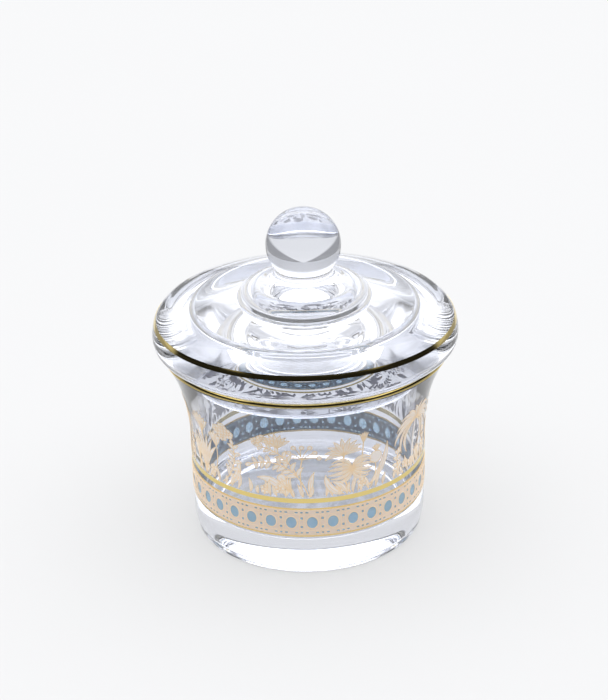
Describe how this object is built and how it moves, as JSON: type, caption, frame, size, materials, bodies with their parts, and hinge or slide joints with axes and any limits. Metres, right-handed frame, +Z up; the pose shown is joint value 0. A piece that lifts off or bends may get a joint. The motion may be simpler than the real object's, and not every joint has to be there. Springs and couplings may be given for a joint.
{
  "type": "lidded glass dappen dish",
  "caption": "Heavy-based glass pot with a flared mouth, a domed lid with a ball knob, gilt bands, a cane-pattern band and a fired floral print.",
  "frame": {"origin": "centre of the base, on the surface that the pot stands on", "axes": "+Z up along the pot's turning axis; +X and +Y across the pot, which looks much the same from all sides"},
  "size_m": [0.081, 0.081, 0.0902],
  "materials": {
    "clear_glass": "polished",
    "burnished_gold": "polished",
    "fired_gold_line": "satin",
    "blue_enamel": "glossy fired enamel",
    "beige_enamel": "satin fired enamel"
  },
  "bodies": {
    "cup": {"cup_body": "clear_glass", "rim_gilt_band": "burnished_gold", "cup_gilt_band": "burnished_gold", "cane_gilt_line_upper": "fired_gold_line", "cane_gilt_line_lower": "fired_gold_line", "blue_enamel_band": "blue_enamel", "cane_lattice": "beige_enamel", "floral_spray_01": "beige_enamel", "floral_spray_02": "beige_enamel", "floral_spray_03": "beige_enamel", "floral_spray_04": "beige_enamel", "floral_spray_05": "beige_enamel", "floral_spray_06": "beige_enamel", "floral_spray_07": "beige_enamel", "floral_spray_08": "beige_enamel", "floral_spray_09": "beige_enamel", "floral_spray_10": "beige_enamel"},
    "lid": {"lid_shell": "clear_glass", "lid_knob": "clear_glass", "lid_gilt_band": "burnished_gold"}
  },
  "joints": [
    {"name": "lid_lift", "type": "slide", "parent": "cup", "child": "lid", "axis": [0, 0, 1], "range_m": [0, 0.06]}
  ]
}
